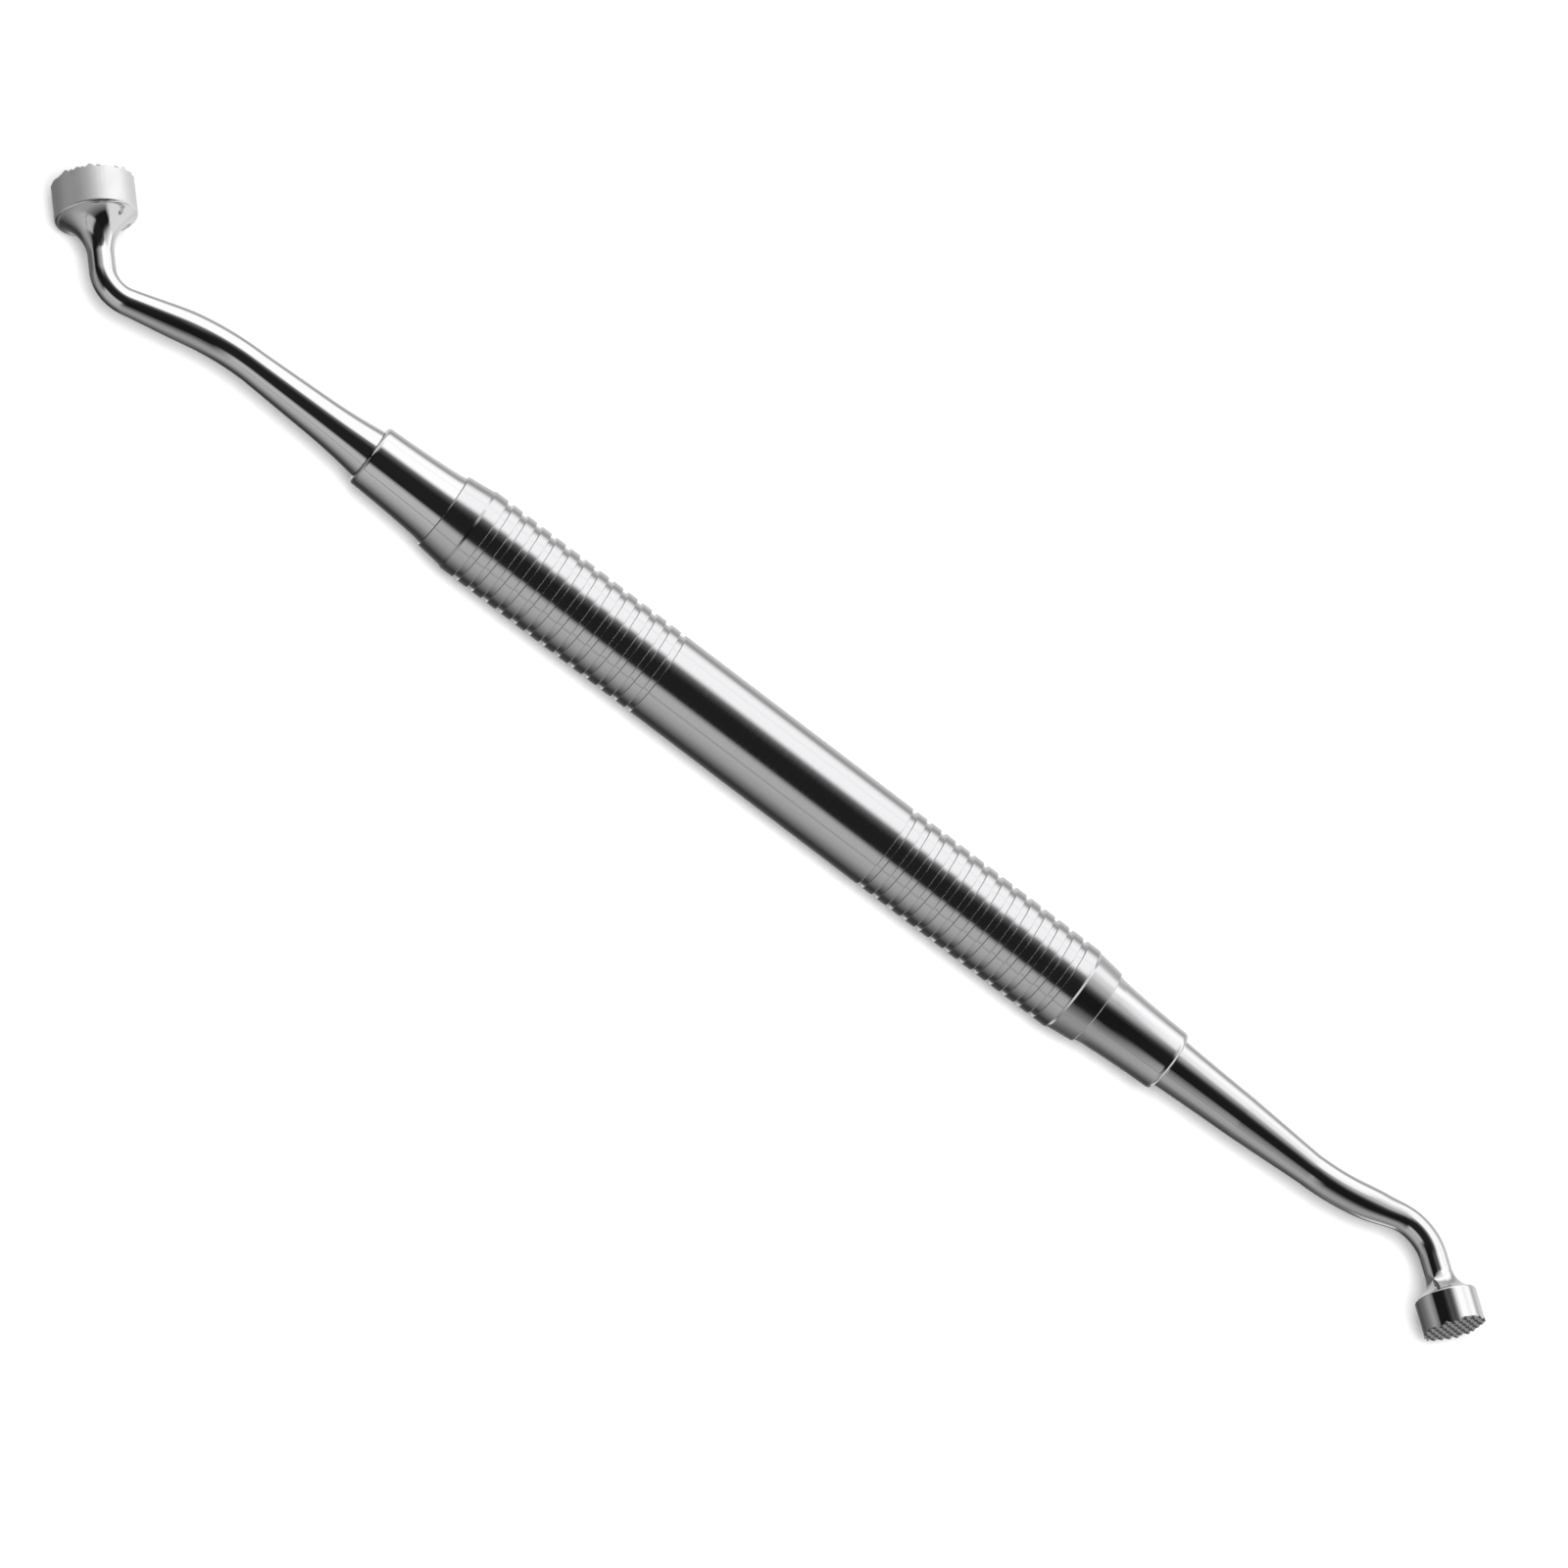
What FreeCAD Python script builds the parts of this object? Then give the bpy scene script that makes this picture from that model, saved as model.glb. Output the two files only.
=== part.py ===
import FreeCAD, Part
import math
import os

import Sketcher

# A double ended bone plugger. A hollow grip tube with two zones of turned rings carries a
# ferrule in each end, and each ferrule holds the tail of a bent shank with a round,
# cross-cut head. X runs along the grip from the larger head to the smaller one, and the
# origin is on the grip's axis, halfway along it. Z is up. The instrument lies on its grip
# and on the rim of its larger head.

SIZES = {
    # grip tube, in millimetres
    "grip_length": 80.3,
    "grip_diameter": 9.2,
    "grip_bore": 6.6,
    "band_length": 2.75,
    "band_end_diameter": 8.24,
    "band_root_diameter": 8.9,
    "band_step_length": 0.3,
    "plain_length": 27.9,
    "groove_width": 0.68,
    "groove_depth": 0.28,
    "groove_pitch": 1.755,
    "groove_count": 13,
    # ferrules
    "ferrule_length": 9.05,
    "ferrule_seat_diameter": 7.8,
    "ferrule_mouth_diameter": 6.56,
    "ferrule_flank_radius": 105.0,
    "spigot_length": 7.0,
    "socket_diameter": 3.8,
    # both pluggers
    "tooth_pitch": 0.88,
    "tooth_depth": 0.4,
    # plugger at the larger end; angles in degrees
    "large_shoulder_diameter": 5.34,
    "large_root_length": 6.5,
    "large_root_diameter": 4.1,
    "large_root_radius": 60.0,
    "large_shank_length": 14.0,
    "large_crank_diameter": 3.42,
    "large_crank_angle": 17.3,
    "large_crank_radius": 27.0,
    "large_crank_length": 5.8,
    "large_tip_diameter": 2.65,
    "large_tip_angle": 52.8,
    "large_tip_radius": 3.3,
    "large_neck_length": 2.0,
    "large_flare_length": 3.55,
    "large_flare_radius": 4.4,
    "large_head_diameter": 8.1,
    "large_head_length": 4.15,
    "large_head_edge": 0.3,
    # plugger at the smaller end
    "small_shoulder_diameter": 5.34,
    "small_root_length": 9.0,
    "small_root_diameter": 4.55,
    "small_root_radius": 400.0,
    "small_shank_length": 17.4,
    "small_crank_diameter": 3.5,
    "small_crank_angle": 16.8,
    "small_crank_radius": 25.0,
    "small_crank_length": 2.9,
    "small_tip_diameter": 2.8,
    "small_tip_angle": 44.8,
    "small_tip_radius": 5.5,
    "small_neck_length": 1.8,
    "small_flare_length": 2.2,
    "small_flare_radius": 2.7,
    "small_head_diameter": 6.25,
    "small_head_length": 3.7,
    "small_head_edge": 0.2,
}

FACE_STOCK = 0.05  # what the teeth take off the blank's face, in millimetres


class Size:
    """A number together with the formula that gives it from the sheet's cells."""

    def __init__(self, value, formula):
        self.value = value
        self.formula = formula

    def __add__(self, other):
        other = as_size(other)
        return Size(self.value + other.value, f"({self.formula} + {other.formula})")

    def __sub__(self, other):
        other = as_size(other)
        return Size(self.value - other.value, f"({self.formula} - {other.formula})")

    def __mul__(self, other):
        other = as_size(other)
        return Size(self.value * other.value, f"({self.formula} * {other.formula})")

    def __truediv__(self, other):
        other = as_size(other)
        return Size(self.value / other.value, f"({self.formula} / {other.formula})")

    def __neg__(self):
        return Size(-self.value, f"(-{self.formula})")


def as_size(number):
    return number if isinstance(number, Size) else Size(number, f"{number}")


def size(name):
    return Size(SIZES[name], f"<<sizes>>.{name}")


def sine(angle):
    return Size(math.sin(math.radians(angle.value)), f"sin({angle.formula})")


def cosine(angle):
    return Size(math.cos(math.radians(angle.value)), f"cos({angle.formula})")


def root(number):
    return Size(math.sqrt(number.value), f"sqrt({number.formula})")


def round_up(number):
    return Size(math.ceil(number.value), f"ceil({number.formula})")


doc = FreeCAD.newDocument("bone_plugger")


def make_sheet():
    sheet = doc.addObject("Spreadsheet::Sheet", "sizes")
    sheet.Label = "sizes"
    for row, (name, value) in enumerate(SIZES.items(), start=1):
        sheet.set(f"A{row}", name)
        sheet.set(f"B{row}", f"{value}")
        sheet.setAlias(f"B{row}", name)
    doc.recompute()
    return sheet


def make_body(label):
    body = doc.addObject("PartDesign::Body", label)
    body.Label = label
    return body


def origin_plane(body, role):
    return next(f for f in body.Origin.OriginFeatures if f.Role == role)


def make_sketch(body, name, role, base=(0, 0, 0), axis=(0, 0, 1), angle=None):
    """A sketch on one of the body's planes, shifted by base and turned by angle about axis."""
    sketch = body.newObject("Sketcher::SketchObject", f"{body.Label}_{name}")
    sketch.AttachmentSupport = [(origin_plane(body, role), "")]
    sketch.MapMode = "FlatFace"
    shift = [as_size(part) for part in base]
    turn = as_size(0) if angle is None else angle
    sketch.AttachmentOffset = FreeCAD.Placement(
        FreeCAD.Vector(*[part.value for part in shift]),
        FreeCAD.Rotation(FreeCAD.Vector(*axis), turn.value),
    )
    for letter, part in zip("xyz", shift):
        sketch.setExpression(f"AttachmentOffset.Base.{letter}", part.formula)
    if angle is not None:
        sketch.setExpression("AttachmentOffset.Rotation.Angle", turn.formula)
    return sketch


def bind(sketch, kind, *where):
    """Adds a constraint whose last value is a Size, and ties it to the sheet."""
    *place, amount = where
    number = math.radians(amount.value) if kind == "Angle" else amount.value
    index = sketch.addConstraint(Sketcher.Constraint(kind, *place, number))
    sketch.setExpression(f"Constraints[{index}]", amount.formula)


def bind_point(sketch, index, place):
    """Ties the first point of an edge to a place, as distances from the sketch's origin."""
    for kind, amount in zip(("DistanceX", "DistanceY"), place):
        if amount.value < 0:
            bind(sketch, kind, index, 1, -1, 1, -amount)
        else:
            bind(sketch, kind, -1, 1, index, 1, amount)


def hollow_arc(start, end, radius):
    """The shorter arc from start to end whose centre lies to the left of that way."""
    chord = end - start
    height = math.sqrt(radius**2 - (chord.Length / 2) ** 2)
    left = FreeCAD.Vector(-chord.y, chord.x, 0).normalize()
    return Part.Arc(start, (start + end) / 2 - left * (radius - height), end)


def draw_outline(sketch, corners):
    """A closed outline. Each corner is (x, y) or (x, y, radius of a hollow edge to the next)."""
    spots = [FreeCAD.Vector(corner[0].value, corner[1].value, 0) for corner in corners]
    following = spots[1:] + spots[:1]
    for corner, start, end in zip(corners, spots, following):
        if len(corner) == 3:
            sketch.addGeometry(hollow_arc(start, end, corner[2].value))
        else:
            sketch.addGeometry(Part.LineSegment(start, end))
    for index, corner in enumerate(corners):
        next_edge = (index + 1) % len(corners)
        sketch.addConstraint(Sketcher.Constraint("Coincident", index, 2, next_edge, 1))
        bind_point(sketch, index, corner[:2])
        if len(corner) == 3:
            bind(sketch, "Radius", index, corner[2])


def revolve(body, name, sketch):
    feature = body.newObject("PartDesign::Revolution", f"{body.Label}_{name}")
    feature.Profile = sketch
    feature.ReferenceAxis = (sketch, ["H_Axis"])
    feature.Angle = 360
    doc.recompute()


def make_grip():
    body = make_body("handle_tube")
    length, outer, bore = size("grip_length"), size("grip_diameter") / 2, size("grip_bore") / 2
    band, step = size("band_length"), size("band_step_length")
    band_end, band_root = size("band_end_diameter") / 2, size("band_root_diameter") / 2
    zero = as_size(0)
    profile = make_sketch(body, "profile", "XY_Plane")
    draw_outline(
        profile,
        [
            (zero, bore),
            (zero, band_end),
            (band, band_root),
            (band + step, outer),
            (length - band - step, outer),
            (length - band, band_root),
            (length, band_end),
            (length, bore),
        ],
    )
    revolve(body, "turned", profile)
    pitch, width, plain = size("groove_pitch"), size("groove_width"), size("plain_length") / 2
    reach = pitch * (size("groove_count") - 1)
    cut_rings(body, "left", length / 2 - plain - width / 2 - reach, reach)
    cut_rings(body, "right", length / 2 + plain + width / 2, reach)
    body.setExpression("Placement.Base.x", (-(length / 2)).formula)
    return body


def cut_rings(body, side, first, reach):
    """One zone of the grip's rings: V grooves, the first with its bottom at first."""
    outer, depth, width = size("grip_diameter") / 2, size("groove_depth"), size("groove_width")
    ring = make_sketch(body, f"{side}_ring", "XY_Plane")
    draw_outline(
        ring,
        [
            (first, outer - depth),
            (first - width, outer + depth),
            (first + width, outer + depth),
        ],
    )
    groove = body.newObject("PartDesign::Groove", f"{side}_groove")
    groove.Profile = ring
    groove.ReferenceAxis = (ring, ["H_Axis"])
    groove.Angle = 360
    doc.recompute()
    repeat(body, f"{side}_grooves", groove, (ring, ["H_Axis"]), reach, size("groove_count"))


def repeat(body, name, feature, direction, reach, count):
    """Repeats a feature along a direction, count times over the length reach."""
    row = body.newObject("PartDesign::LinearPattern", f"{body.Label}_{name}")
    row.Originals = [feature]
    row.Direction = direction
    row.setExpression("Length", reach.formula)
    row.setExpression("Occurrences", count.formula)
    body.Tip = row
    doc.recompute()


def tail_length():
    """The plugger's round tail, pressed right through the ferrule and flush with its spigot."""
    return size("spigot_length") + size("ferrule_length")


def make_ferrule(label, facing):
    body = make_body(label)
    spigot, mouth_end, zero = size("spigot_length"), tail_length(), as_size(0)
    socket, fit = size("socket_diameter") / 2, size("grip_bore") / 2
    seat, mouth = size("ferrule_seat_diameter") / 2, size("ferrule_mouth_diameter") / 2
    profile = make_sketch(body, "profile", "XY_Plane")
    draw_outline(
        profile,
        [
            (zero, socket),
            (zero, fit),
            (spigot, fit),
            (spigot, seat, size("ferrule_flank_radius")),
            (mouth_end, mouth),
            (mouth_end, socket),
        ],
    )
    revolve(body, "turned", profile)
    place_body(body, facing)
    return body


def place_body(body, facing):
    """Puts a body's x axis on the grip's axis, pointing out of the end that it faces.

    It starts where the spigots end. The roll tips the plane of the bends until the larger
    head's rim is level with the grip.
    """
    distance = size("grip_length") / 2 - size("spigot_length")
    flip = {"large": "vector(0; 1; 0)", "small": "vector(1; 0; 0)"}[facing]
    sign = {"large": "-", "small": ""}[facing]
    body.setExpression(
        "Placement",
        f"placement(vector({sign}{distance.formula}; 0; 0);"
        f" rotation(vector(1; 0; 0); -asin({roll_sine().formula})) * rotation({flip}; 180))",
    )


def crank_end(end):
    """Where the first bend ends, from the tail's inner end: x and y."""
    angle, radius = size(f"{end}_crank_angle"), size(f"{end}_crank_radius")
    along = tail_length() + size(f"{end}_shank_length") + radius * sine(angle)
    return along, radius * (cosine(angle) - 1)


def run_end(end):
    """Where the straight run between the two bends ends: x and y."""
    angle, run = size(f"{end}_crank_angle"), size(f"{end}_crank_length")
    along, across = crank_end(end)
    return along + run * cosine(angle), across - run * sine(angle)


def tip_end(end):
    """Where the second bend ends: x and y."""
    crank, tip = size(f"{end}_crank_angle"), size(f"{end}_tip_angle")
    radius = size(f"{end}_tip_radius")
    along, across = run_end(end)
    along = along + radius * (sine(crank) + sine(tip))
    return along, across + radius * (cosine(crank) - cosine(tip))


def face_place(end):
    """Distance from the end of the second bend to the points of the teeth."""
    return size(f"{end}_neck_length") + size(f"{end}_flare_length") + size(f"{end}_head_length")


def roll_sine():
    """Sine of the roll that sets the larger head's rim level with the underside of the grip."""
    _, across = tip_end("large")
    lean = sine(size("large_tip_angle"))
    grip, rim = size("grip_diameter") / 2, size("large_head_diameter") / 2
    offset = across + face_place("large") * lean
    spread = offset * offset + rim * rim * lean * lean
    rest = grip * grip - rim * rim
    return (grip * offset - root(grip * grip * offset * offset - spread * rest)) / spread


def turn_shank(body, end):
    """The tail, and the shank with its hollow root and straight taper."""
    tail, socket = tail_length(), size("socket_diameter") / 2
    stop = tail + size(f"{end}_shank_length")
    root_end, root_radius = tail + size(f"{end}_root_length"), size(f"{end}_root_radius")
    zero = as_size(0)
    profile = make_sketch(body, "shank_profile", "XY_Plane")
    draw_outline(
        profile,
        [
            (zero, zero),
            (zero, socket),
            (tail, socket),
            (tail, size(f"{end}_shoulder_diameter") / 2, root_radius),
            (root_end, size(f"{end}_root_diameter") / 2),
            (stop, size(f"{end}_crank_diameter") / 2),
            (stop, zero),
        ],
    )
    revolve(body, "shank", profile)


def bend_shank(body, name, diameter, place, heading, radius, angle):
    """A round bend from place and heading: its centre is at radius, to the left if positive."""
    along, across = place
    section = make_sketch(body, f"{name}_section", "YZ_Plane", (across, 0, along), (0, 1, 0), heading)
    circle = Part.Circle(FreeCAD.Vector(0, 0, 0), FreeCAD.Vector(0, 0, 1), diameter.value / 2)
    section.addGeometry(circle)
    section.addConstraint(Sketcher.Constraint("Coincident", 0, 3, -1, 1))
    bind(section, "Diameter", 0, diameter)
    reach = math.copysign(diameter.value, radius.value)
    foot = FreeCAD.Vector(radius.value, 0, 0)
    section.addGeometry(Part.LineSegment(foot, foot + FreeCAD.Vector(0, reach, 0)), True)
    section.addConstraint(Sketcher.Constraint("Vertical", 1))
    bind_point(section, 1, (radius, as_size(0)))
    bind(section, "Distance", 1, diameter)
    bend = body.newObject("PartDesign::Revolution", f"{body.Label}_{name}")
    bend.Profile = section
    bend.ReferenceAxis = (section, ["Axis0"])
    bend.setExpression("Angle", angle.formula)
    doc.recompute()


def turn_run(body, end):
    """The straight run between the bends, tapering from the one to the other."""
    along, across = crank_end(end)
    run, zero = size(f"{end}_crank_length"), as_size(0)
    heading = -size(f"{end}_crank_angle")
    profile = make_sketch(body, "run_profile", "XY_Plane", (along, across, 0), angle=heading)
    draw_outline(
        profile,
        [
            (zero, zero),
            (zero, size(f"{end}_crank_diameter") / 2),
            (run, size(f"{end}_tip_diameter") / 2),
            (run, zero),
        ],
    )
    revolve(body, "run", profile)


def turn_head(body, end):
    along, across = tip_end(end)
    neck, flare = size(f"{end}_neck_length"), size(f"{end}_flare_length")
    head, edge = size(f"{end}_head_diameter") / 2, size(f"{end}_head_edge")
    thin, blank, zero = size(f"{end}_tip_diameter") / 2, face_place(end) + FACE_STOCK, as_size(0)
    tip = size(f"{end}_tip_angle")
    profile = make_sketch(body, "head_profile", "XY_Plane", (along, across, 0), angle=tip)
    draw_outline(
        profile,
        [
            (zero, zero),
            (zero, thin),
            (neck, thin, size(f"{end}_flare_radius")),
            (neck + flare, head - edge),
            (neck + flare + edge, head),
            (blank, head),
            (blank, zero),
        ],
    )
    revolve(body, "head", profile)


def cut_teeth(body, end, name, role, base):
    """A row of V grooves right across the face, side by side."""
    tip, pitch, depth = size(f"{end}_tip_angle"), size("tooth_pitch"), size("tooth_depth")
    width = size(f"{end}_head_diameter")
    count = round_up(width / pitch)
    reach = pitch * (count - 1)
    axis = {"XY_Plane": (0, 0, 1), "XZ_Plane": (0, 1, 0)}[role]
    bottom, top = face_place(end) - depth, face_place(end) + depth
    first = -(reach / 2)
    notch = make_sketch(body, name, role, base, axis, tip)
    draw_outline(notch, [(bottom, first), (top, first + pitch), (top, first - pitch)])
    cut = body.newObject("PartDesign::Pocket", f"{body.Label}_{name}_cut")
    cut.Profile = notch
    cut.SideType = "Symmetric"
    cut.setExpression("Length", (width * 2).formula)
    doc.recompute()
    repeat(body, f"{name}_row", cut, (notch, ["V_Axis"]), reach, count)


def make_plugger(label, end):
    body = make_body(label)
    start = (tail_length() + size(f"{end}_shank_length"), as_size(0))
    crank, tip = size(f"{end}_crank_angle"), size(f"{end}_tip_angle")
    thick, thin = size(f"{end}_crank_diameter"), size(f"{end}_tip_diameter")
    turn_shank(body, end)
    bend_shank(body, "crank", thick, start, as_size(0), -size(f"{end}_crank_radius"), crank)
    turn_run(body, end)
    bend_shank(body, "tip", thin, run_end(end), -crank, size(f"{end}_tip_radius"), crank + tip)
    turn_head(body, end)
    along, across = tip_end(end)
    cut_teeth(body, end, "teeth_across", "XY_Plane", (along, across, 0))
    cut_teeth(body, end, "teeth_along", "XZ_Plane", (along, 0, -across))
    place_body(body, end)
    return body


def check_document():
    for item in doc.Objects:
        if "Invalid" in item.State or "Error" in item.State:
            raise RuntimeError(f"{item.Name} failed: {item.State}")


def write_parts(bodies):
    os.makedirs("parts", exist_ok=True)
    for body in bodies:
        if body.Shape.isNull() or not body.Shape.isValid():
            raise RuntimeError(f"{body.Label} has no valid shape")
        body.Shape.exportStep(f"parts/{body.Label}.step")
        print(f"{body.Label}: {body.Shape.Volume:.1f} cubic mm, {len(body.Shape.Solids)} solid")


make_sheet()
made = [
    make_grip(),
    make_ferrule("large_end_ferrule", "large"),
    make_ferrule("small_end_ferrule", "small"),
    make_plugger("large_plugger", "large"),
    make_plugger("small_plugger", "small"),
]
doc.recompute()
check_document()
write_parts(made)
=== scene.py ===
import math

import bmesh
import bpy
import numpy as np
from bpy.props import FloatProperty, FloatVectorProperty, IntProperty, PointerProperty
from mathutils import Matrix, Vector


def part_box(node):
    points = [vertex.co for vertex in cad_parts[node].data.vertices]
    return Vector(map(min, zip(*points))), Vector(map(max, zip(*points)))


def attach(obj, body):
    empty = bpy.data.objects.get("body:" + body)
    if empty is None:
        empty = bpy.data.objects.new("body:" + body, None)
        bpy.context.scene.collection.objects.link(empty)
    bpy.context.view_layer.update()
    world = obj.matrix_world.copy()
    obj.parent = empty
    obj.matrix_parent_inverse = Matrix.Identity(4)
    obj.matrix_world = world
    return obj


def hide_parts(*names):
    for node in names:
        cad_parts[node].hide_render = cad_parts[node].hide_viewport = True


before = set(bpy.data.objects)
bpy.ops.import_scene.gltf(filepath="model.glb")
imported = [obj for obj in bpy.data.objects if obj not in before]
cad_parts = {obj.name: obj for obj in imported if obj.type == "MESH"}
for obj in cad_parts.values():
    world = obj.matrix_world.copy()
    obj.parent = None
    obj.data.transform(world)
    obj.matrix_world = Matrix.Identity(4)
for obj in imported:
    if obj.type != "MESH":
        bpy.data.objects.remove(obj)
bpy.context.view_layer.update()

bl_info = {
    "name": "Bone plugger",
    "version": (1, 0, 0),
    "blender": (4, 5, 0),
    "location": "3D View > Sidebar > Bone plugger",
    "description": "Builds a double-ended bone plugger and a plain stage for it",
    "category": "Object",
}

MM = 0.001
GRIP_LOW, GRIP_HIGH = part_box("handle_tube")
GRIP_RADIUS = float(max(GRIP_HIGH[1], GRIP_HIGH[2]))
GRIP_HALF = float(GRIP_HIGH[0])
FLOOR = float(GRIP_LOW[2])  # the grip lies on the floor

SHARP = math.radians(38)  # edges that bend by more than this stay sharp
MERGE = 2e-7  # points of a mesh that lie closer than this are merged
NO_STEP = 1e-8  # points of a profile that lie closer than this are left out

# Points on a rounded corner, and how far out the points beside it lie, in times the cut
ROUND_STEPS = 4
ROUND_GUARD = 1.4

# Columns of faces round a turned piece, and points along a ferrule's foot and flank
GRIP_COLUMNS = 120
FERRULE_COLUMNS = 128
FOOT_STEPS, FLANK_STEPS = 16, 20
BAND_LIP = 1.5  # how far the bands' end edges are broken, in times the grip's lip

# Points along a plugger's root, first bend, run, second bend, neck, flare and back edge
ROOT_STEPS, CRANK_STEPS, RUN_STEPS, TIP_STEPS = 24, 16, 9, 44
NECK_STEPS, FLARE_STEPS, EDGE_STEPS = 9, 32, 7
TAIL_EDGE, SHOULDER_EDGE = 0.2 * MM, 0.1 * MM  # how far these two edges are broken
CRANK_TAPER = 0.99  # thickness behind the first bend, in times that before it
EASE_REACH, EASE_STEPS = 1.2 * MM, 21  # the shank's thickness is averaged over this reach
EDGE_START = math.radians(25)  # where on its curve the head's back edge leaves the flare
# Where the finish of the head's side begins and where its straight wall does, in times the
# radius of the head's back edge, and how far below the ridges the wall stops, in times the
# teeth's depth
SIDE_START, WALL_START, TEETH_CLEAR = 0.4, 1.3, 1.2
ROUTE_STEPS, ROUTE_MARGIN = 6000, 1.1  # the summed centre line goes past the head by a tenth
TEETH_MARGIN = 3  # half teeth beyond the face on each side, before it is cut round


def length(name, millimetres, description):
    """A size that a user would change, in metres with its default given in millimetres."""
    return FloatProperty(
        name=name,
        description=description,
        default=millimetres * MM,
        min=0.0,
        precision=5,
        unit="LENGTH",
    )


def turn(name, degrees, description):
    return FloatProperty(
        name=name, description=description, default=math.radians(degrees), unit="ROTATION"
    )


def colour(name, grey, description):
    return FloatVectorProperty(
        name=name, description=description, default=grey, size=3, min=0, max=1, subtype="COLOR"
    )


def amount(name, value, description):
    return FloatProperty(name=name, description=description, default=value, min=0.0)


class PLUGGER_PG_grip(bpy.types.PropertyGroup):
    bore: length("Bore", 6.6, "Diameter of the bore through the grip tube")
    band_length: length("Band length", 2.75, "Length of the tapered band at each end")
    band_end: length("Band end", 8.24, "Diameter of the band where the ferrule starts")
    band_root: length("Band root", 8.9, "Diameter of the band at the step up to the grip")
    band_step: length("Band step", 0.3, "Length of the sloping step above the band")
    plain: length("Plain length", 27.9, "Length of the plain stretch in the middle")
    ring_width: length("Ring width", 0.68, "Width of a ring's groove")
    ring_depth: length("Ring depth", 0.28, "Depth of a ring's groove")
    ring_pitch: length("Ring pitch", 1.755, "Distance from one ring to the next")
    ring_count: IntProperty(name="Rings", description="Rings in each zone", default=13, min=2)
    lip: length("Lip", 0.05, "How far the rings' edges are broken")


class PLUGGER_PG_ferrule(bpy.types.PropertyGroup):
    spigot: length("Spigot", 7.0, "Length inside the grip tube")
    length: length("Length", 9.05, "Length outside the grip tube")
    seat: length("Seat diameter", 7.8, "Diameter at the grip tube")
    mouth: length("Mouth diameter", 6.56, "Diameter at the mouth")
    flank: length("Flank radius", 140.0, "Radius of the long hollow flank")
    foot: length("Foot", 1.2, "Length of the foot that flares out to the seat")
    foot_thick: length("Foot thickness", 7.41, "Diameter where the foot meets the flank")
    foot_hollow: length("Foot hollow", 8.0, "Radius of the foot's hollow")
    socket: length("Socket", 3.8, "Diameter of the socket for the plugger's tail")
    edge: length("Edge", 0.1, "How far its edges are broken")
    lip: length("Lip", 0.42, "How far the edge of its mouth is rounded")


class PLUGGER_PG_large(bpy.types.PropertyGroup):
    shoulder: length("Shoulder", 5.34, "Diameter at the ferrule's mouth")
    root: length("Root", 6.5, "Length of the shank's hollow root")
    root_thick: length("Root thickness", 4.1, "Diameter where the root ends")
    root_hollow: length("Root hollow", 60.0, "Radius of the root's hollow")
    shank: length("Shank", 14.0, "Length of the straight shank")
    crank_thick: length("Crank thickness", 3.42, "Diameter at the first bend")
    crank: turn("Crank", 17.3, "Angle of the first bend")
    crank_radius: length("Crank radius", 27.0, "Radius of the first bend")
    run: length("Run", 5.8, "Straight run between the bends")
    tip_thick: length("Tip thickness", 2.65, "Diameter at the second bend")
    tip: turn("Tip", 52.8, "Angle of the head's axis to the grip's")
    tip_radius: length("Tip radius", 3.3, "Radius of the second bend")
    neck: length("Neck", 2.0, "Length of the neck below the flare")
    flare: length("Flare", 3.55, "Length of the flared back of the head")
    flare_hollow: length("Flare hollow", 4.4, "Radius of the flare's hollow")
    head: length("Head", 8.1, "Diameter of the head")
    head_length: length("Head length", 4.15, "Length of the head, from its back to its teeth")
    head_edge: length("Head edge", 0.3, "Radius of the head's back edge")


class PLUGGER_PG_small(bpy.types.PropertyGroup):
    shoulder: length("Shoulder", 5.34, "Diameter at the ferrule's mouth")
    root: length("Root", 9.0, "Length of the shank's hollow root")
    root_thick: length("Root thickness", 4.55, "Diameter where the root ends")
    root_hollow: length("Root hollow", 400.0, "Radius of the root's hollow")
    shank: length("Shank", 17.4, "Length of the straight shank")
    crank_thick: length("Crank thickness", 3.5, "Diameter at the first bend")
    crank: turn("Crank", 16.8, "Angle of the first bend")
    crank_radius: length("Crank radius", 25.0, "Radius of the first bend")
    run: length("Run", 2.9, "Straight run between the bends")
    tip_thick: length("Tip thickness", 2.8, "Diameter at the second bend")
    tip: turn("Tip", 44.8, "Angle of the head's axis to the grip's")
    tip_radius: length("Tip radius", 5.5, "Radius of the second bend")
    neck: length("Neck", 1.8, "Length of the neck below the flare")
    flare: length("Flare", 2.2, "Length of the flared back of the head")
    flare_hollow: length("Flare hollow", 2.7, "Radius of the flare's hollow")
    head: length("Head", 6.25, "Diameter of the head")
    head_length: length("Head length", 3.7, "Length of the head, from its back to its teeth")
    head_edge: length("Head edge", 0.2, "Radius of the head's back edge")


class PLUGGER_PG_teeth(bpy.types.PropertyGroup):
    pitch: length("Tooth pitch", 0.88, "Distance from one tooth to the next")
    depth: length("Tooth depth", 0.4, "Depth of the cuts between the teeth")


class PLUGGER_PG_finish(bpy.types.PropertyGroup):
    polished: colour("Polished steel", (0.5, 0.5, 0.507), "Colour of ferrules and shanks")
    polished_roughness: amount("Polish", 0.05, "Roughness of the polished steel")
    satin: colour("Satin steel", (0.45, 0.45, 0.457), "Colour of the grip tube")
    satin_roughness: amount("Satin", 0.1, "Roughness of the grip tube")
    side: colour("Blasted steel", (0.62, 0.62, 0.627), "Colour of the larger head's side")
    side_roughness: amount("Blasting", 0.45, "Roughness of the larger head's side")
    # The teeth's colour is darker than the other steel as painted shade, for the shade the teeth
    # lie in
    cut: colour("Teeth steel with painted shade", (0.2, 0.2, 0.203), "Colour of the teeth, which lie in their own shade")
    cut_roughness: amount("Cut", 0.3, "Roughness of the teeth")


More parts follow.
